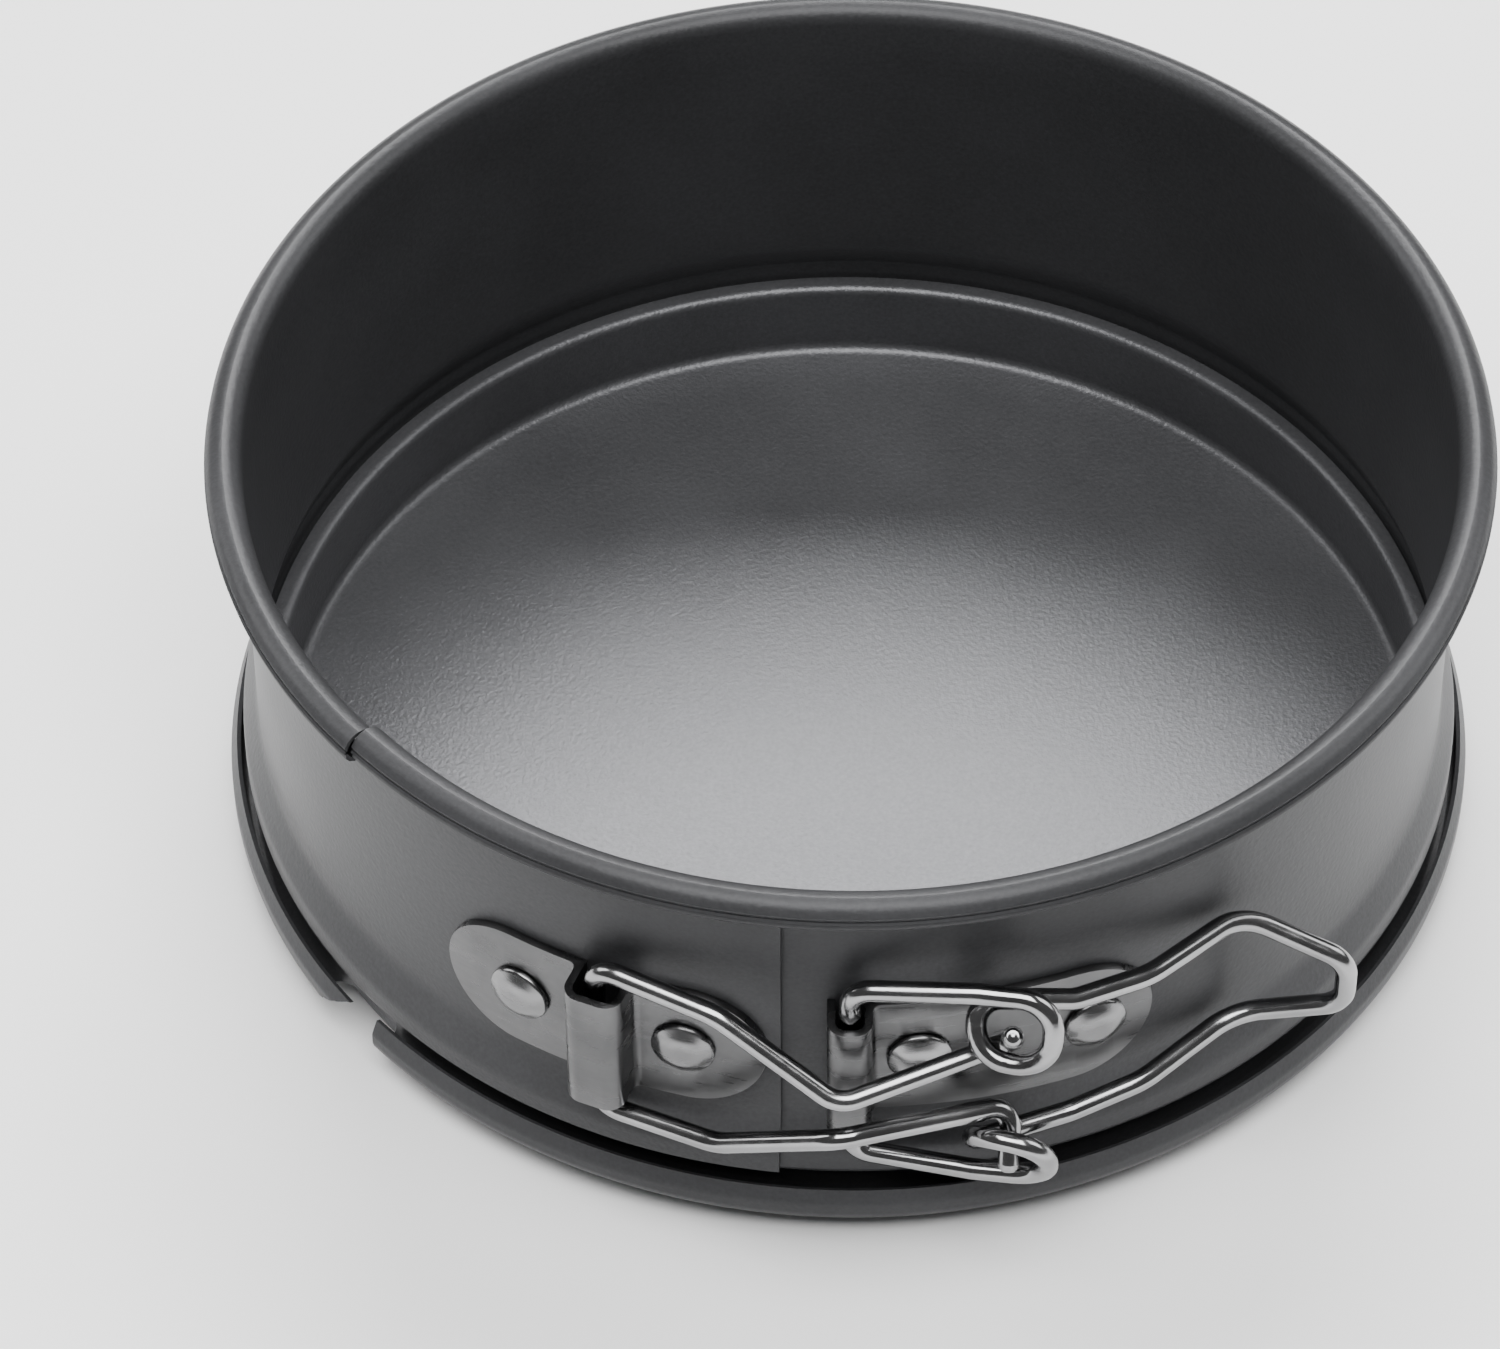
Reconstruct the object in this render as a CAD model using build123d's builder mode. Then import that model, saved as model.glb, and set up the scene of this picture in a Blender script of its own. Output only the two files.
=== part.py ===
"""Springform pan: a shallow base tray gripped by a two-part latched band.

Frame: millimetres, +Z up, origin on the pan's axis at the underside of the base.
The latch faces -Y and +X is to its right.
"""
import os
from math import cos, degrees, radians, sin

from build123d import *

# Overall sizes
overall_height = 44.45  # underside of the base to the top of the rim bead
wall_radius = 54.2  # outside of the band's plain wall, right half
hem_radius = 57.15  # outside of the hem round the foot
sheet = 0.4  # band sheet thickness

# Rim bead and hem
bead_diameter = 3.4
curl_slit = 0.3
hem_foot = 2.5  # height of the hem's inner bend
hem_top = 6.2
hem_lean = 0.6  # how far the hem's top edge leans in

# Groove that grips the base
flare_top = 14.0
groove_depth = 1.5
groove_top = 10.4
groove_bottom = 8.0
throat_height = 6.5  # where the groove has closed again
throat_depth = 0.2  # throat's outside beyond the plain wall

# Base tray
base_sheet = 0.5
base_gap = 0.3  # base to band, all round
flange_height = 8.3
base_corner = 1.2

# Overlap of the two band parts, angles in degrees from +X
right_start = 222.0  # where the right part's bead and hem begin
split_angle = 90.0  # the spring line at the back
end_gap = 0.4  # bead end to bead end, degrees
tail_end = 264.0  # end of the left part's overlapping tail
spring_gap = 0.05  # degrees, between the parts at the back
layer_shift = 0.35  # the left part's axis lies this far towards the latch
tail_top_gap = 0.35  # tail below the bead
tail_foot = 8.2
taper_start = 209.0  # where the left hem begins to be trimmed away

# Latch
latch_height = 22.8
plate_sheet = 0.7
plate_height = 13.8
seat_gap = 0.05  # plates and rivet heads on the sheet below them
wire = 1.9
catch_from, catch_to = -36.9, -6.9  # arc lengths from the front, + to the right
catch_channel_at = -21.0
catch_channel_width = 5.3
catch_channel_rise = 4.4
lever_plate_to = 26.7
lever_channel_at = 0.2
lever_channel_width = 3.9
lever_channel_rise = 4.1
channel_corner = 1.6
foot_radius = 0.7
rivet_shank = 3.0
rivet_hole_gap = 0.05
rivet_head = 5.7
rivet_dome = 1.3
button_diameter = 4.8
button_height = 0.6
button_gap = 0.1
catch_rivets = (-29.2, -14.0)
lever_rivets = (6.1, 21.5)

# Wires: plan positions and heights above and below the latch's mid height
pivot_x, pivot_y = 0.2, -56.4
pivot_rise = 10.7
catch_x, catch_y = -21.58, -52.78
catch_rise = 9.3
eye_centre = Vector(14.1, -58.5, 8.35)
eye_radius = 3.35
eye_tilt = 24.0
eye_pitch = 1.1  # half the distance between the eye's two layers
tip_x, tip_y, tip_rise = 43.0, -46.1, 2.8
hook_point = (14.15, -56.5, 4.35)
hook_end = (13.9, -60.1, 9.25)

os.makedirs("parts", exist_ok=True)
bead_z = overall_height - bead_diameter / 2
left_axis = Axis((0, -layer_shift, 0), (0, 0, 1))


def radial_plane(angle, centre_y=0.0):
    """Upright plane through the axis: local x points outwards, local y points up."""
    a = radians(angle)
    return Plane(origin=(0, centre_y, 0), x_dir=(cos(a), sin(a), 0), z_dir=(sin(a), -cos(a), 0))


def wall_plane(angle, radius, height, centre_y=0.0):
    """Plane that touches the wall: local x runs to the right, local y up, z outwards."""
    a = radians(angle)
    out = Vector(cos(a), sin(a), 0)
    return Plane(origin=Vector(0, centre_y, height) + out * radius, x_dir=(-sin(a), cos(a), 0), z_dir=out)


def angle_at(arc_length, radius):
    """Angle from +X of a place given by its arc length from the front."""
    return 270 + degrees(arc_length / radius)


def band_path(grow, top, foot):
    """Middle line of the band's sheet from the top down, and its bend radii."""
    wall = wall_radius + grow - sheet / 2
    points = [(wall, top), (wall, flare_top), (wall + groove_depth, groove_top)]
    radii = [4.0]
    if foot is not None:
        return points + [(wall + groove_depth, foot)], radii + [2.0]
    hem = hem_radius + grow - sheet / 2
    points += [
        (wall + groove_depth, groove_bottom),
        (wall + throat_depth, throat_height),
        (wall + throat_depth, hem_foot),
        (hem, hem_foot),
        (hem, hem_top - 1.4),
        (hem - hem_lean, hem_top),
    ]
    return points, radii + [2.0, 1.0, 0.8, 1.2, 1.2, 1.0]


def band_section(plane, grow, top, foot=None):
    """Section of the band, with the rolled bead on top unless it is a tail."""
    points, radii = band_path(grow, top, foot)
    bead_r = wall_radius + grow - sheet + bead_diameter / 2
    with BuildSketch(plane) as section:
        with BuildLine() as middle:
            FilletPolyline(*points, radius=radii)
        trace(middle.line, line_width=sheet)
        if foot is None:
            with Locations((bead_r, bead_z)):
                Circle(bead_diameter / 2)
                Circle(bead_diameter / 2 - sheet, mode=Mode.SUBTRACT)
            with Locations((bead_r - bead_diameter * 0.24, bead_z - bead_diameter * 0.38)):
                Rectangle(curl_slit, sheet * 3, rotation=-35, mode=Mode.SUBTRACT)
    return section.sketch


def rivet_holes(places, radius, centre_y=0.0):
    """Holes through the sheet for a plate's rivets."""
    for place in places:
        with BuildSketch(wall_plane(angle_at(place, radius), radius, latch_height, centre_y)) as hole:
            Circle(rivet_shank / 2 + rivet_hole_gap)
        extrude(hole.sketch, amount=plate_sheet * 3, both=True, mode=Mode.SUBTRACT)


tail_top = overall_height - bead_diameter - tail_top_gap
tail_radius = wall_radius + layer_shift

# Band, right part: the inner layer of the overlap, with the lever plate on it
with BuildPart() as band_right:
    add(band_section(radial_plane(right_start), 0, bead_z))
    revolve(axis=Axis.Z, revolution_arc=360 + split_angle - right_start)
    rivet_holes(lever_rivets, wall_radius)

# Band, left part: full section from the back to the overlap, then a plain tail outside the right part
left_start = split_angle + spring_gap
left_full_end = right_start - end_gap
taper_mid = (taper_start + left_full_end) / 2
taper_length = radians(left_full_end - taper_start) * hem_radius
with BuildPart() as band_left:
    add(band_section(radial_plane(left_start, -layer_shift), layer_shift, bead_z))
    revolve(axis=left_axis, revolution_arc=left_full_end - left_start)
    with BuildSketch(wall_plane(taper_mid, tail_radius + throat_depth, 0, -layer_shift)):
        with BuildLine():
            Polyline(
                (-taper_length / 2, 0),
                (taper_length, 0),
                (taper_length, tail_foot),
                (taper_length / 2, tail_foot),
                close=True,
            )
        make_face()
    extrude(amount=hem_radius, mode=Mode.SUBTRACT)
    add(band_section(radial_plane(left_full_end - 0.2, -layer_shift), layer_shift, tail_top, tail_foot))
    revolve(axis=left_axis, revolution_arc=tail_end - left_full_end + 0.2)
    rivet_holes(catch_rivets, tail_radius, -layer_shift)

# Base: a shallow tray whose flange lies in the band's groove
base_wall = wall_radius + throat_depth - sheet - base_gap
flange_radius = wall_radius + groove_depth - sheet - base_gap
with BuildPart() as base_pan:
    with BuildSketch(Plane.XZ):
        with BuildLine() as base_middle:
            FilletPolyline(
                (0, base_sheet / 2),
                (base_wall - base_sheet / 2, base_sheet / 2),
                (base_wall - base_sheet / 2, flange_height),
                (flange_radius, flange_height),
                radius=[base_corner, base_sheet],
            )
        trace(base_middle.line, line_width=base_sheet)
    revolve(axis=Axis.Z)


def channel_foot(vertex, centre, inner, width, centre_y):
    """True for the outer corners where a channel's sides meet its plate."""
    from_axis = (Vector(vertex) - Vector(0, centre_y, vertex.Z)).length
    from_channel = (Vector(vertex) - Vector(centre.X, centre.Y, vertex.Z)).length
    return abs(from_axis - inner - plate_sheet) < 0.01 and from_channel < width


def channel_plate(radius, centre_y, channel_at, width, rise, outline_from, outline_to, square_start):
    """Curved plate with an upright channel for a wire, cut to a rounded outline."""
    inner = radius + seat_gap
    along = Vector(cos(radians(angle_at(channel_at, radius))), sin(radians(angle_at(channel_at, radius))))
    tilt = angle_at(channel_at, radius)
    reach = inner + rise
    centre = Vector(0, centre_y) + along * (reach - rise)
    with BuildSketch(Plane.XY.offset(latch_height - plate_height / 2)) as plan:
        with Locations((0, centre_y)):
            Circle(inner + plate_sheet)
        with Locations(centre):
            RectangleRounded(rise * 2, width, channel_corner, rotation=tilt)
            RectangleRounded(
                (rise - plate_sheet) * 2,
                width - plate_sheet * 2,
                channel_corner - plate_sheet,
                rotation=tilt,
                mode=Mode.SUBTRACT,
            )
        with Locations((0, centre_y)):
            Circle(inner, mode=Mode.SUBTRACT)
        at_foot = [v for v in plan.vertices() if channel_foot(v, centre, inner, width, centre_y)]
        fillet(at_foot, foot_radius)
    lead = plate_height if square_start else 0
    middle = (outline_from - lead + outline_to) / 2
    flat = wall_plane(angle_at(middle, radius), radius * 0.8, latch_height, centre_y)
    with BuildPart() as plate:
        add(plan.sketch)
        extrude(amount=plate_height)
        with BuildSketch(flat):
            SlotOverall(outline_to - outline_from + lead, plate_height)
        extrude(amount=radius * 0.4, mode=Mode.INTERSECT)
        if square_start:
            start = angle_at(channel_at, radius)
            with BuildSketch(wall_plane(start, radius * 0.8, latch_height, centre_y)):
                with Locations((-width / 2 - plate_height, 0)):
                    Rectangle(plate_height * 2, plate_height * 2)
            extrude(amount=radius * 0.4, mode=Mode.SUBTRACT)
    return plate.part


with BuildPart() as catch_plate:
    add(
        channel_plate(
            tail_radius,
            -layer_shift,
            catch_channel_at,
            catch_channel_width,
            catch_channel_rise,
            catch_from,
            catch_to,
            False,
        )
    )
    rivet_holes(catch_rivets, tail_radius, -layer_shift)

with BuildPart() as lever_plate:
    add(
        channel_plate(
            wall_radius,
            0,
            lever_channel_at,
            lever_channel_width,
            lever_channel_rise,
            lever_channel_at - lever_channel_width / 2,
            lever_plate_to,
            True,
        )
    )
    rivet_holes(lever_rivets, wall_radius)


def rivet(place, radius, centre_y, button):
    """Domed rivet through a plate and the wall, with or without a button inside."""
    seat = radius + seat_gap * 2 + plate_sheet
    grip = seat - (radius - sheet)
    dome_radius = ((rivet_head / 2) ** 2 + rivet_dome**2) / (2 * rivet_dome)
    plane = wall_plane(angle_at(place, radius), seat, latch_height, centre_y)
    with BuildPart() as pin:
        with BuildSketch(plane):
            Circle(rivet_shank / 2)
        extrude(amount=-grip - (button_gap if button else 0))
        with BuildSketch(Plane(plane.origin, x_dir=plane.x_dir, z_dir=plane.y_dir * -1)):
            with BuildLine():
                Line((0, 0), (rivet_head / 2, 0))
                RadiusArc((rivet_head / 2, 0), (0, rivet_dome), -dome_radius)
                Line((0, rivet_dome), (0, 0))
            make_face()
        revolve(axis=Axis(plane.origin, plane.z_dir))
        if button:
            with BuildSketch(plane.offset(-grip - button_gap)):
                Circle(button_diameter / 2)
            extrude(amount=-button_height, taper=30)
    return pin.part


rivets = {}
for side, place in zip(("left", "right"), catch_rivets):
    rivets[f"catch_rivet_{side}"] = rivet(place, tail_radius, -layer_shift, False)
for side, place in zip(("left", "right"), lever_rivets):
    rivets[f"lever_rivet_{side}"] = rivet(place, wall_radius, 0, True)


def raised(x, y, rise):
    """Point of a wire's upper half, its rise counted from the latch's mid height."""
    return Vector(x, y, latch_height + rise)


eye_along = Vector(eye_centre.X - pivot_x, eye_centre.Y - pivot_y, 0).normalized()
eye_out = Vector(eye_along.Y, -eye_along.X, 0)
eye_normal = eye_out * cos(radians(eye_tilt)) + Vector(0, 0, sin(radians(eye_tilt)))
eye_up = Vector(0, 0, cos(radians(eye_tilt))) - eye_out * sin(radians(eye_tilt))


def in_eye(across, up, out):
    """Point given in radii across and up the upper eye, and in pitches out of it."""
    centre = raised(eye_centre.X, eye_centre.Y, eye_centre.Z)
    return centre + eye_along * across * eye_radius + eye_up * up * eye_radius + eye_normal * out * eye_pitch


def bent_wire(points, radii):
    """Round wire along the upper half's bends, and its mirror image below."""
    with BuildPart() as bent:
        with BuildLine() as route:
            FilletPolyline(*points, radius=radii)
        with BuildSketch(Plane(origin=route.line @ 0, z_dir=route.line % 0)):
            Circle(wire / 2)
        sweep(path=route.line)
        mirror(about=Plane.XY.offset(latch_height))
    return bent.part


# Lever: pivot in the lever plate's channel, an eye in each arm, then the handle loop
with BuildPart() as lever_wire:
    add(
        bent_wire(
            [
                raised(pivot_x, pivot_y, 0),
                raised(pivot_x, pivot_y, pivot_rise),
                in_eye(-1, 1, 1),
                in_eye(1, 1, 0.8),
                in_eye(1, -1, 0.3),
                in_eye(-1, -1, -0.3),
                in_eye(-1, 0.55, -1),
                raised(19.2, -54.6, 7.6),
                raised(25.6, -51.5, 7.1),
                raised(33.7, -44.15, 6.6),
                raised(tip_x, tip_y, tip_rise),
                raised(tip_x, tip_y, 0),
            ],
            [2.2, 5.0, 3.1, 3.1, 3.1, 1.9, 4.0, 9.0, 5.0, 3.0],
        )
    )

# Link: held in the catch plate's channel, with its two ends hooked outwards through the lever's eyes
with BuildPart() as link_wire:
    add(
        bent_wire(
            [
                raised(catch_x, catch_y, 0),
                raised(catch_x, catch_y, catch_rise),
                raised(-11.2, -57.6, 8.7),
                raised(-0.7, -62.1, 2.35),
                raised(*hook_point),
                raised(*hook_end),
            ],
            [2.2, 5.0, 3.0, 1.8],
        )
    )

nodes = {
    "base_pan": base_pan.part,
    "band_right": band_right.part,
    "band_left": band_left.part,
    "catch_plate": catch_plate.part,
    "lever_plate": lever_plate.part,
    "lever_wire": lever_wire.part,
    "link_wire": link_wire.part,
    **rivets,
}
for name, part in nodes.items():
    part.label = name
    export_step(part, f"parts/{name}.step")
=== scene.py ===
import math

import bpy
from mathutils import Matrix, Vector


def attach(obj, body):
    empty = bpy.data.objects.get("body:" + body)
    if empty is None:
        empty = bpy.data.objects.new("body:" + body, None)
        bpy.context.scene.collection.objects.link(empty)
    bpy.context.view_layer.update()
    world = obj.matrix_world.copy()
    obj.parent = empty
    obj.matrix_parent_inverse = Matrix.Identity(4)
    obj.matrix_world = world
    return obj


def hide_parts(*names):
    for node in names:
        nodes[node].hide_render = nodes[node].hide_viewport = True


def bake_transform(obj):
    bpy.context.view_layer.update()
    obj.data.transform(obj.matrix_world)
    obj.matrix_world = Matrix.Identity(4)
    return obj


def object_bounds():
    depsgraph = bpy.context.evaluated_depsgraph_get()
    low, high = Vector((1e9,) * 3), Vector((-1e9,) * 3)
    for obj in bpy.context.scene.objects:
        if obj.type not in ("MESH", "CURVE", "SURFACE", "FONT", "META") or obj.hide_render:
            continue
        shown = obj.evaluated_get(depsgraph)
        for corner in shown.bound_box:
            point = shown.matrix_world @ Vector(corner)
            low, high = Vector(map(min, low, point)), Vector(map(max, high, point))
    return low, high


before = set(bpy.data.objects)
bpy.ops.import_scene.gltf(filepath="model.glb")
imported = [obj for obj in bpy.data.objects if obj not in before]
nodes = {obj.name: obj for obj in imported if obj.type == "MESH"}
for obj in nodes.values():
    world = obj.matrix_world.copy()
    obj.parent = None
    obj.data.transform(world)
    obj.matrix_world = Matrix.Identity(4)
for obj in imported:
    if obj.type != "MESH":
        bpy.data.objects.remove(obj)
cad_low, cad_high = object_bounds()

# Camera and studio, metres and degrees
CAMERA_DISTANCE = 0.6291
CAMERA_ELEVATION = 48.389
CAMERA_LENS = 161.27
AIM_LEFT = 0.855
AIM_UP = 0.670
CAMERA_ROLL = 0.457
FLOOR_SIZE = 3.0

# The pan's sizes in millimetres, heights from the underside of the base; +Z up, the latch faces -Y
MM = 0.001
SHEET = 0.4
WALL = 54.2  # outside radius of the plain wall
HEM = 57.15  # outside radius of the turned-up hem
TOP = 44.45
BEAD = 3.4  # diameter of the rolled rim
CURL_REACH = 0.75  # how near the rim's free edge curls back to the wall
CURL_GAP = 0.06
ROLL_SHARE = 0.995  # bend radius of the rim as a share of its half width
FLARE_TOP = 14.0
GROOVE_DEPTH = 1.5
GROOVE_TOP = 10.4
GROOVE_BOTTOM = 8.0
THROAT_DEPTH = 0.2
THROAT = 6.5
HEM_FOOT = 2.5
HEM_LIP = 1.4  # height of the hem's leaning edge
HEM_TOP = 6.2
HEM_LEAN = 0.6
WALL_BENDS = [4.0, 2.0, 1.0, 0.8, 1.2, 1.2, 1.0]

# Where the band's parts begin and end, degrees from +X
SPLIT = 90.0  # the parts meet at the back
RIGHT_START = 222.0
LEFT_FULL_END = 221.6
TAPER_START = 209.0
TAIL_END = 264.0
TAIL_TOP = 40.7
TAIL_FOOT = 8.2
LAYER = 0.35  # the left part's axis lies this far towards the latch

# Base tray
BASE_SHEET = 0.5
BASE_GAP = 0.3
BASE_CORNER = 1.2
FLANGE = 8.3

# Latch
LATCH = 22.8
WIRE = 1.9
PLATE = 0.7
SEAT = 0.05
BROKEN_EDGE = 0.14
RIVET_HEAD = 2.85  # radii from here on
RIVET_SHANK = 1.5
RIVET_DOME = 1.3  # height of the dome
RIVET_FLAT = 1.4
RIVET_BROW = 0.42  # height where the dome turns down to its edge
BUTTON_BASE = 2.4
BUTTON_FACE = 2.1
BUTTON_GAP = 0.1
BUTTON_HEIGHT = 0.6
CATCH_RIVETS = (-29.2, -14.0)  # arc lengths from the front
LEVER_RIVETS = (6.1, 21.5)

# Facets and merging
MERGE = 0.000005  # metres
FINE_MERGE = 0.000002
SEAM_MERGE = 0.00002
TIP = ((0.75, 1.0), (0.4, 0.88), (0.12, 0.55))  # distance from a wire's end, share of its radius
TIP_SHARE = 0.03


def deselect():
    if bpy.context.object and bpy.context.object.mode != "OBJECT":
        bpy.ops.object.mode_set(mode="OBJECT")
    bpy.ops.object.select_all(action="DESELECT")


# ---------------------------------------------------------------- materials
class Shader:
    """A Principled material with short calls for its texture nodes."""

    def __init__(self, name, **sockets):
        self.material = bpy.data.materials.new(name)
        self.material.use_nodes = True
        self.tree = self.material.node_tree
        self.main = self.tree.nodes["Principled BSDF"]
        for socket, value in sockets.items():
            self.main.inputs[socket.replace("_", " ")].default_value = value
        self.place = self.tree.nodes.new("ShaderNodeTexCoord").outputs["Object"]

    def link(self, output, entry):
        self.tree.links.new(output, entry)

    def node(self, kind, **values):
        made = self.tree.nodes.new(kind)
        for name, value in values.items():
            if name in made.inputs:
                made.inputs[name].default_value = value
            else:
                setattr(made, name, value)
        return made

    def noise(self, scale, detail=2.0, roughness=0.5, stretch=None):
        made = self.node("ShaderNodeTexNoise", Scale=scale, Detail=detail, Roughness=roughness)
        source = self.place
        if stretch:
            mapping = self.node("ShaderNodeMapping")
            mapping.inputs["Scale"].default_value = stretch
            self.link(source, mapping.inputs["Vector"])
            source = mapping.outputs["Vector"]
        self.link(source, made.inputs["Vector"])
        return made.outputs["Fac"]

    def spread(self, value, low, high, start=0.3, end=0.7):
        made = self.node("ShaderNodeMapRange")
        for name, number in (("From Min", start), ("From Max", end), ("To Min", low), ("To Max", high)):
            made.inputs[name].default_value = number
        self.link(value, made.inputs["Value"])
        return made.outputs["Result"]

    def mix(self, factor, low, high):
        made = self.node("ShaderNodeMix", data_type="RGBA")
        self.link(factor, made.inputs["Factor"])
        made.inputs["A"].default_value = (*low, 1)
        made.inputs["B"].default_value = (*high, 1)
        return made.outputs["Result"]

    def bump(self, height, strength, distance, below=None):
        made = self.node("ShaderNodeBump", Strength=strength, Distance=distance)
        self.link(height, made.inputs["Height"])
        if below:
            self.link(below, made.inputs["Normal"])
        return made.outputs["Normal"]


def coating(name, dark, light, rough, metal, gloss, pebble, pebble_depth):
    """Satin non-stick coating: fine pebbles, broad tone drift and slightly uneven gloss."""
    s = Shader(name, Metallic=metal, Specular_IOR_Level=gloss)
    drift = s.noise(38.0, 3.0)
    speckle = s.noise(2600.0, 2.0)
    blend = s.node("ShaderNodeMath", operation="MULTIPLY_ADD")
    s.link(speckle, blend.inputs[0])
    blend.inputs[1].default_value = 0.6
    s.link(drift, blend.inputs[2])
    tone = s.mix(s.spread(blend.outputs[0], 0.0, 1.0, 0.5, 1.1), dark, light)
    s.link(tone, s.main.inputs["Base Color"])
    s.link(s.spread(drift, rough - 0.03, rough + 0.04), s.main.inputs["Roughness"])
    pebbles = s.bump(s.noise(pebble, 1.5), 0.5, pebble_depth)
    grain = s.bump(s.noise(pebble * 2.6, 1.0), 0.35, pebble_depth * 0.4, pebbles)
    s.link(grain, s.main.inputs["Normal"])
    return s.material


def plated(name, dark, light, rough, scratch):
    """Plated steel with fine directionless scratches and a cloudy tone."""
    s = Shader(name, Metallic=1.0)
    cloud = s.noise(120.0, 4.0, 0.6)
    s.link(s.mix(s.spread(cloud, 0.0, 1.0), dark, light), s.main.inputs["Base Color"])
    lines = s.noise(900.0, 3.0, 0.7, (0.12, 0.12, 1.0))
    s.link(s.spread(lines, rough - 0.06, rough + 0.1), s.main.inputs["Roughness"])
    across = s.noise(1500.0, 2.0, 0.6, (1.0, 0.3, 0.08))
    first = s.bump(lines, scratch, 0.00003)
    s.link(s.bump(across, scratch * 0.7, 0.00002, first), s.main.inputs["Normal"])
    return s.material


band_coating = coating(
    "Band coating", (0.030, 0.0303, 0.0318), (0.050, 0.0504, 0.0532), 0.38, 0.22, 0.2, 1900.0, 0.00005
)
base_coating = coating(
    "Base coating", (0.068, 0.0685, 0.0725), (0.108, 0.109, 0.115), 0.42, 0.55, 0.5, 2300.0, 0.0001
)
plated_sheet = plated("Plated sheet", (0.095, 0.095, 0.097), (0.14, 0.14, 0.142), 0.29, 0.3)
rivet_metal = plated("Rivet steel", (0.17, 0.17, 0.172), (0.27, 0.27, 0.273), 0.22, 0.22)
bright_wire = plated("Bright wire", (0.24, 0.24, 0.243), (0.35, 0.35, 0.354), 0.16, 0.12)


# ---------------------------------------------------------------- modelling helpers
def active(obj):
    deselect()
    obj.select_set(True)
    bpy.context.view_layer.objects.active = obj


def fuse(obj, gap, close_ends=False):
    """Merge what coincides, close open ends if asked, and turn the faces outwards."""
    active(obj)
    bpy.ops.object.mode_set(mode="EDIT")
    bpy.ops.mesh.select_all(action="SELECT")
    bpy.ops.mesh.remove_doubles(threshold=gap)
    if close_ends:
        bpy.ops.mesh.select_all(action="SELECT")
        bpy.ops.mesh.fill_holes(sides=0)
    bpy.ops.mesh.select_all(action="SELECT")
    bpy.ops.mesh.normals_make_consistent(inside=False)
    bpy.ops.object.mode_set(mode="OBJECT")


def bent_line(name, points, radii, tip=False):
    """Curve of straight runs and round bends through points in millimetres, with a rounded tip."""
    corners = [Vector(point) * MM for point in points]
    places = [(corners[0], corners[0], corners[0], 1.0)]
    for before, corner, after, radius in zip(corners, corners[1:], corners[2:], radii):
        back = (before - corner).normalized()
        ahead = (after - corner).normalized()
        half = back.angle(ahead) / 2
        start = corner + back * radius * MM / math.tan(half)
        end = corner + ahead * radius * MM / math.tan(half)
        grip = radius * MM * math.tan((math.pi / 2 - half) / 2) * 4 / 3
        places.append((start, start, start - back * grip, 1.0))
        places.append((end - ahead * grip, end, end, 1.0))
    run = (corners[-1] - corners[-2]).normalized()
    if tip:
        for distance, share in TIP:
            place = corners[-1] - run * distance * MM
            places.append((place, place, place, share))
    places.append((corners[-1], corners[-1], corners[-1], TIP_SHARE if tip else 1.0))
    curve = bpy.data.curves.new(name, "CURVE")
    curve.dimensions = "3D"
    spline = curve.splines.new("BEZIER")
    spline.bezier_points.add(len(places) - 1)
    for point, (left, middle, right, share) in zip(spline.bezier_points, places):
        point.handle_left_type = "FREE"
        point.handle_right_type = "FREE"
        point.co = middle
        point.handle_left = left
        point.handle_right = right
        point.radius = share
    line = bpy.data.objects.new(name, curve)
    bpy.context.scene.collection.objects.link(line)
    return line


def spun_sheet(name, profile, radii, start, end, steps, detail=4):
    """Surface made by spinning a profile of (radius, height) about the axis, degrees from +X."""
    line = bent_line(name, [(radius, 0, height) for radius, height in profile], radii)
    line.data.resolution_u = detail
    active(line)
    bpy.ops.object.convert(target="MESH")
    line.data.transform(Matrix.Rotation(math.radians(start), 4, "Z"))
    bpy.ops.object.mode_set(mode="EDIT")
    bpy.ops.mesh.select_all(action="SELECT")
    bpy.ops.mesh.spin(steps=steps, angle=math.radians(start - end), center=(0, 0, 0), axis=(0, 0, 1))
    fuse(line, MERGE)
    return line


def trim(obj, place, normal):
    """Cut away what lies on the normal's side of a plane, places in millimetres."""
    active(obj)
    bpy.ops.object.mode_set(mode="EDIT")
    bpy.ops.mesh.select_all(action="SELECT")
    bpy.ops.mesh.bisect(plane_co=Vector(place) * MM, plane_no=normal, clear_outer=True)
    bpy.ops.object.mode_set(mode="OBJECT")


def thicken(obj, thickness):
    active(obj)
    solid = obj.modifiers.new("Sheet", "SOLIDIFY")
    solid.thickness = thickness * MM
    solid.offset = 0.0
    bpy.ops.object.modifier_apply(modifier=solid.name)


def finished(obj, material, nodes_replaced, body=None, smooth=40.0):
    active(obj)
    bpy.ops.object.shade_smooth_by_angle(angle=math.radians(smooth))
    obj.data.materials.clear()
    obj.data.materials.append(material)
    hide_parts(*nodes_replaced)
    if body:
        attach(obj, body)
    return obj


# ---------------------------------------------------------------- band
def band_profile(grow):
    """Middle line of the sheet: rolled bead, wall, groove, throat and turned-up hem, with bend radii."""
    wall = WALL + grow - SHEET / 2
    hem = HEM + grow - SHEET / 2
    roll = (BEAD - SHEET) / 2
    top = TOP - SHEET / 2
    points = [
        (wall + CURL_REACH, top - roll * 2 + CURL_GAP),
        (wall + roll * 2, top - roll * 2),
        (wall + roll * 2, top),
        (wall, top),
        (wall, FLARE_TOP),
        (wall + GROOVE_DEPTH, GROOVE_TOP),
        (wall + GROOVE_DEPTH, GROOVE_BOTTOM),
        (wall + THROAT_DEPTH, THROAT),
        (wall + THROAT_DEPTH, HEM_FOOT),
        (hem, HEM_FOOT),
        (hem, HEM_TOP - HEM_LIP),
        (hem - HEM_LEAN, HEM_TOP),
    ]
    return points, [roll * ROLL_SHARE] * 3 + WALL_BENDS


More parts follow.
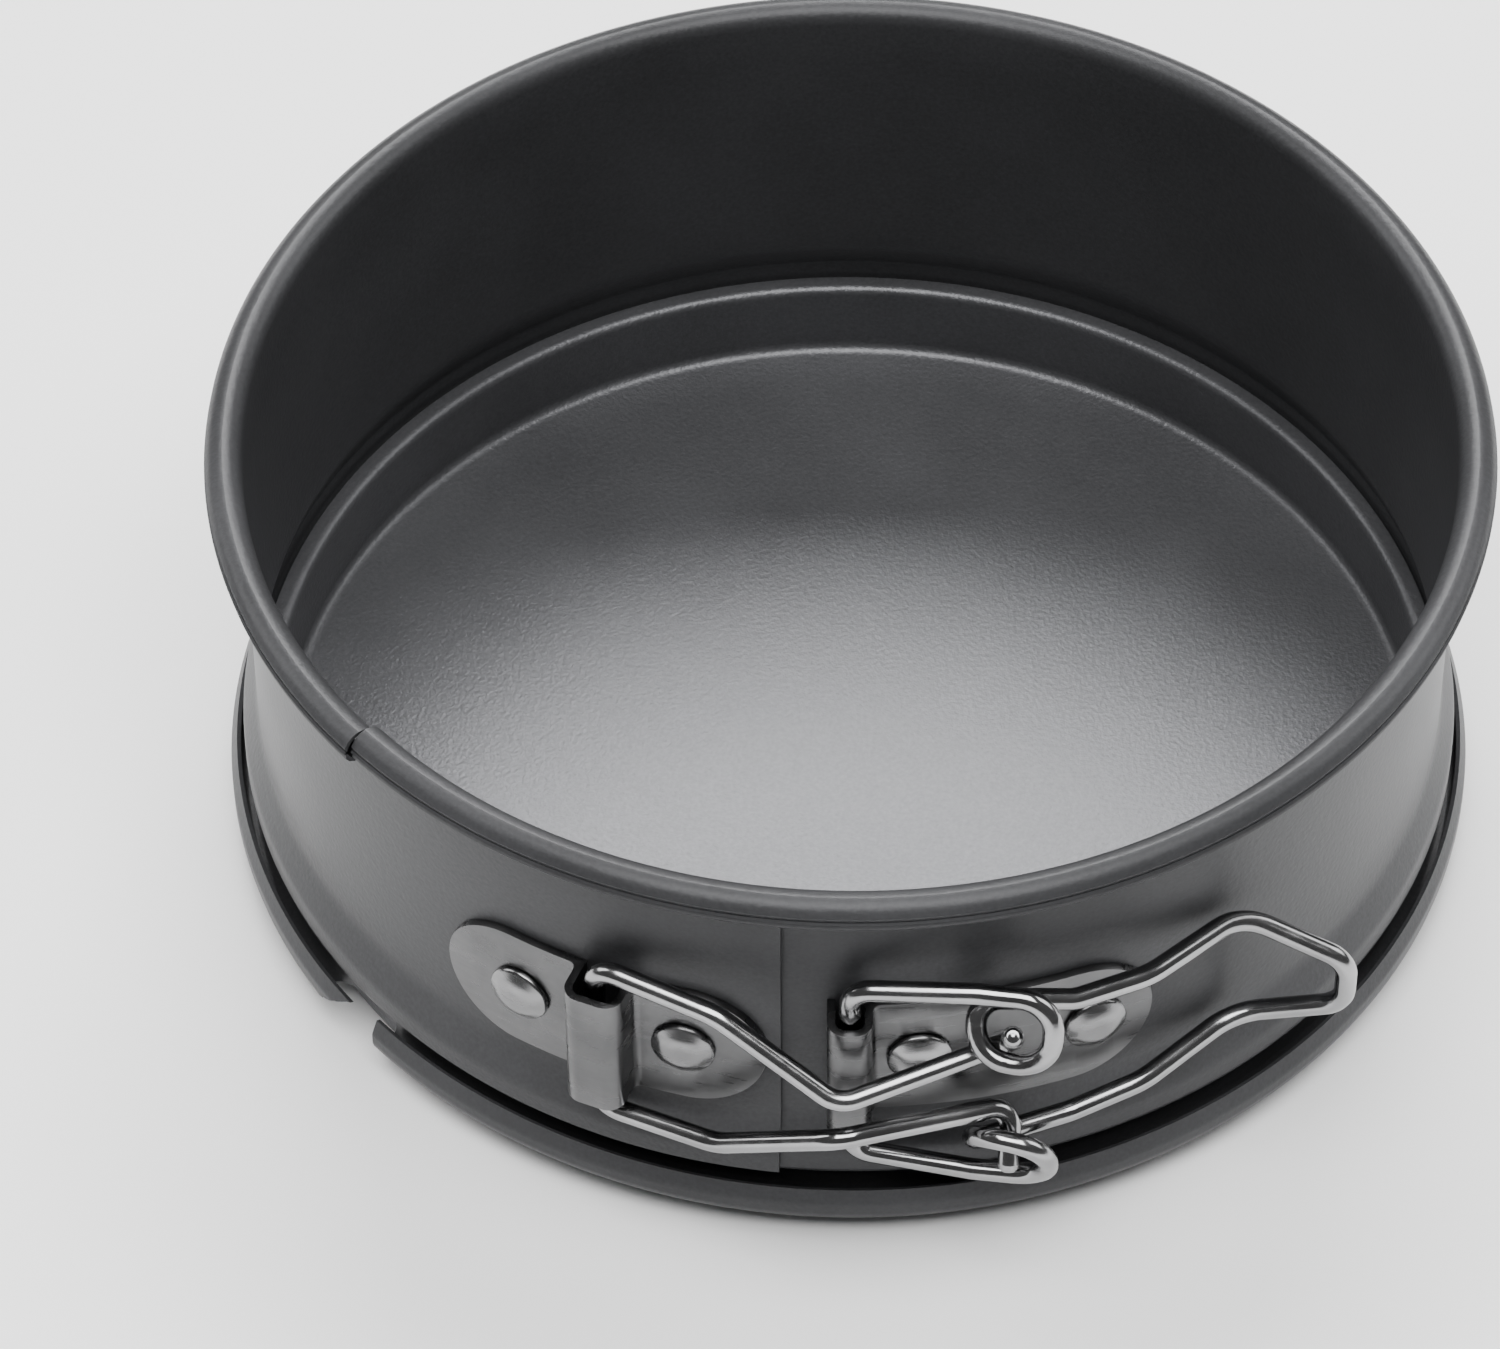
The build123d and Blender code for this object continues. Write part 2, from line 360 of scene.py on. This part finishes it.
def make_band_right():
    profile, radii = band_profile(0)
    part = spun_sheet("Band_right", profile, radii, RIGHT_START, 360 + SPLIT, 190)
    thicken(part, SHEET)
    return finished(part, band_coating, ["band_right"], "root")


def make_band_left():
    """Full section from the back, its hem trimmed to a taper, then the tail that laps outside."""
    profile, radii = band_profile(LAYER)
    part = spun_sheet("Band_left", profile, radii, SPLIT, TAPER_START, 99)
    taper = spun_sheet("Band_taper", profile, radii, TAPER_START, LEFT_FULL_END, 11)
    tail = spun_sheet("Band_tail", profile, radii, LEFT_FULL_END, TAIL_END, 36)
    trim(tail, (0, 0, TAIL_TOP), (0, 0, 1))
    trim(tail, (0, 0, TAIL_FOOT), (0, 0, -1))
    middle = math.radians((TAPER_START + LEFT_FULL_END) / 2)
    length = math.radians(LEFT_FULL_END - TAPER_START) * HEM
    outward = Vector((math.cos(middle), math.sin(middle), 0))
    along = Vector((-math.sin(middle), math.cos(middle), 0))
    below = Vector((along.x * TAIL_FOOT, along.y * TAIL_FOOT, -length))
    trim(taper, outward * HEM + Vector((0, 0, TAIL_FOOT / 2)), below.normalized())
    active(part)
    taper.select_set(True)
    tail.select_set(True)
    bpy.ops.object.join()
    fuse(part, MERGE)
    part.data.transform(Matrix.Translation((0, -LAYER * MM, 0)))
    thicken(part, SHEET)
    finished(part, band_coating, ["band_left"])
    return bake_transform(part)


def make_base():
    """Tray whose rolled-out flange lies in the band's groove."""
    middle = BASE_SHEET / 2
    side = WALL + THROAT_DEPTH - SHEET - BASE_GAP - middle
    flange = WALL + GROOVE_DEPTH - SHEET - BASE_GAP
    profile = [(0, middle), (side, middle), (side, FLANGE), (flange, FLANGE)]
    base = spun_sheet("Base", profile, [BASE_CORNER, BASE_SHEET], 0, 360, 288, 6)
    thicken(base, BASE_SHEET)
    return finished(base, base_coating, ["base_pan"], "root")


# ---------------------------------------------------------------- wires
EYE_CENTRE = Vector((14.1, -58.5, 8.35))
EYE_RADIUS = 3.35
EYE_PITCH = 1.1
EYE_TILT = math.radians(24.0)
PIVOT = Vector((0.2, -56.4, 0))
PIVOT_RISE = 10.7


def in_eye(across, up, out):
    """Place in the upper eye: radii along and up its ring, and pitches out of it."""
    along = Vector((EYE_CENTRE.x - PIVOT.x, EYE_CENTRE.y - PIVOT.y, 0)).normalized()
    outward = Vector((along.y, -along.x, 0))
    normal = outward * math.cos(EYE_TILT) + Vector((0, 0, math.sin(EYE_TILT)))
    rise = Vector((0, 0, math.cos(EYE_TILT))) - outward * math.sin(EYE_TILT)
    return EYE_CENTRE + along * across * EYE_RADIUS + rise * up * EYE_RADIUS + normal * out * EYE_PITCH


def wire_loop(name, points, radii, tip):
    """Round wire along its upper half, mirrored below the latch's middle and joined there."""
    line = bent_line(name, points, radii, tip)
    line.data.resolution_u = 9
    line.data.bevel_depth = WIRE / 2 * MM
    line.data.bevel_resolution = 5
    active(line)
    bpy.ops.object.convert(target="MESH")
    mirror = line.modifiers.new("Lower half", "MIRROR")
    mirror.use_axis = (False, False, True)
    mirror.merge_threshold = SEAM_MERGE
    bpy.ops.object.modifier_apply(modifier=mirror.name)
    fuse(line, FINE_MERGE, close_ends=True)
    line.data.transform(Matrix.Translation((0, 0, LATCH * MM)))
    return line


def make_lever():
    """Pivot, an eye in each arm, then the handle; heights are from the latch's middle."""
    points = [
        PIVOT,
        PIVOT + Vector((0, 0, PIVOT_RISE)),
        in_eye(-1, 1, 1),
        in_eye(1, 1, 0.8),
        in_eye(1, -1, 0.3),
        in_eye(-1, -1, -0.3),
        in_eye(-1, 0.55, -1),
        (19.2, -54.6, 7.6),
        (25.6, -51.5, 7.1),
        (33.7, -44.15, 6.6),
        (43.0, -46.1, 2.8),
        (43.0, -46.1, 0),
    ]
    radii = [2.2, 5.0, 3.1, 3.1, 3.1, 1.9, 4.0, 9.0, 5.0, 2.75]
    lever = wire_loop("Lever_wire", points, radii, False)
    return finished(lever, bright_wire, ["lever_wire"], "lever", 60.0)


def make_link():
    """Run in the catch plate's channel, then an arm whose end hooks outwards through the eye."""
    points = [
        (-21.58, -52.78, 0),
        (-21.58, -52.78, 9.3),
        (-11.2, -57.6, 8.7),
        (-0.7, -62.1, 2.35),
        (14.15, -56.5, 4.35),
        (13.9, -60.1, 9.25),
    ]
    link = wire_loop("Link_wire", points, [2.2, 5.0, 3.0, 1.8], True)
    return finished(link, bright_wire, ["link_wire"], "link", 60.0)


# ---------------------------------------------------------------- plates and rivets
def make_plate(name, node, body):
    """Formed plate with its sharp pressed edges broken."""
    mesh = nodes[node].data.copy()
    plate = bpy.data.objects.new(name, mesh)
    bpy.context.scene.collection.objects.link(plate)
    active(plate)
    bpy.ops.object.mode_set(mode="EDIT")
    bpy.ops.mesh.select_all(action="SELECT")
    bpy.ops.mesh.remove_doubles(threshold=FINE_MERGE)
    bpy.ops.mesh.dissolve_limited(angle_limit=math.radians(0.5))
    bpy.ops.mesh.normals_make_consistent(inside=False)
    bpy.ops.object.mode_set(mode="OBJECT")
    edge = plate.modifiers.new("Broken edges", "BEVEL")
    edge.width = BROKEN_EDGE * MM
    edge.segments = 3
    edge.limit_method = "ANGLE"
    edge.angle_limit = math.radians(50)
    bpy.ops.object.modifier_apply(modifier=edge.name)
    return finished(plate, plated_sheet, [node], body, 35.0)


def make_rivet(name, place, radius, centre_y, button, body, node):
    """Domed rivet, turned on its own axis and set at an arc length from the front."""
    seat = SEAT * 2 + PLATE
    back = -(seat + SHEET)
    profile = [
        (0, RIVET_DOME),
        (RIVET_FLAT, RIVET_DOME),
        (RIVET_HEAD, RIVET_BROW),
        (RIVET_HEAD, 0),
        (RIVET_SHANK, 0),
    ]
    radii = [2.6, 0.35, 0.1]
    if button:
        seat_back = back - BUTTON_GAP
        face = seat_back - BUTTON_HEIGHT
        profile += [(RIVET_SHANK, seat_back), (BUTTON_BASE, seat_back), (BUTTON_FACE, face), (0, face)]
        radii += [0.05, 0.05, 0.2, 0.25]
    else:
        profile += [(RIVET_SHANK, back), (0, back)]
        radii += [0.05, 0.05]
    rivet = spun_sheet(name, profile, radii, 0, 360, 48, 5)
    angle = math.radians(270) + place / radius
    outward = Vector((math.cos(angle), math.sin(angle), 0))
    turn = outward.to_track_quat("Z", "Y").to_matrix().to_4x4()
    where = Vector((0, centre_y, LATCH)) + outward * (radius + seat)
    rivet.data.transform(Matrix.Translation(where * MM) @ turn)
    return finished(rivet, rivet_metal, [node], body, 50.0)


make_band_right()
make_band_left()
make_base()
make_lever()
make_link()
make_plate("Catch_plate", "catch_plate", "band_side")
make_plate("Lever_plate", "lever_plate", "root")
for side, catch_place in zip(("left", "right"), CATCH_RIVETS):
    catch_name = f"Catch_rivet_{side}"
    make_rivet(catch_name, catch_place, WALL + LAYER, -LAYER, False, "band_side", catch_name.lower())
for side, lever_place in zip(("left", "right"), LEVER_RIVETS):
    lever_name = f"Lever_rivet_{side}"
    make_rivet(lever_name, lever_place, WALL, 0, True, "root", lever_name.lower())


# ---------------------------------------------------------------- stage
def make_floor():
    deselect()
    bpy.ops.mesh.primitive_plane_add(size=FLOOR_SIZE, location=(0, 0, cad_low.z))
    floor = bpy.context.object
    floor.name = "Floor"
    s = Shader("Floor paper", Roughness=0.9)
    s.link(s.mix(s.noise(3.0), (0.93, 0.93, 0.93), (0.95, 0.95, 0.95)), s.main.inputs["Base Color"])
    floor.data.materials.append(s.material)


def softbox(name, place, size, power, target=(0, 0, 0.02)):
    deselect()
    bpy.ops.object.light_add(type="AREA", location=place)
    light = bpy.context.object
    light.name = name
    light.data.shape = "RECTANGLE"
    light.data.size, light.data.size_y = size
    light.data.energy = power
    light.rotation_euler = (Vector(target) - Vector(place)).to_track_quat("-Z", "Y").to_euler()


def make_lights():
    world = bpy.data.worlds.new("Studio")
    bpy.context.scene.world = world
    world.use_nodes = True
    world.node_tree.nodes["Background"].inputs["Color"].default_value = (1, 1, 1, 1)
    world.node_tree.nodes["Background"].inputs["Strength"].default_value = 0.14
    softbox("Back softbox", (0.0, 0.75, 0.85), (0.7, 0.5), 20.0)
    softbox("Top softbox", (0.0, -0.3, 1.0), (0.9, 0.7), 18.0)
    softbox("Left softbox", (-0.8, 0.25, 0.6), (0.5, 0.6), 4.0)
    softbox("Right softbox", (0.8, 0.25, 0.6), (0.5, 0.6), 4.0)


def make_camera():
    elevation = math.radians(CAMERA_ELEVATION)
    back = Vector((0, -math.cos(elevation), math.sin(elevation)))
    up = Vector((0, math.sin(elevation), math.cos(elevation)))
    aside = math.tan(math.radians(AIM_LEFT)) * Vector((1, 0, 0))
    forward = (-back - aside + math.tan(math.radians(AIM_UP)) * up).normalized()
    right = forward.cross(up).normalized()
    upright = right.cross(forward)
    roll = Matrix.Rotation(-math.radians(CAMERA_ROLL), 3, forward)
    data = bpy.data.cameras.new("Camera")
    data.lens = CAMERA_LENS
    data.sensor_width = 36.0
    camera = bpy.data.objects.new("Camera", data)
    bpy.context.scene.collection.objects.link(camera)
    turn = Matrix((roll @ right, roll @ upright, -forward)).transposed()
    camera.matrix_world = Matrix.Translation(back * CAMERA_DISTANCE) @ turn.to_4x4()
    bpy.context.scene.camera = camera


make_floor()
make_lights()
make_camera()
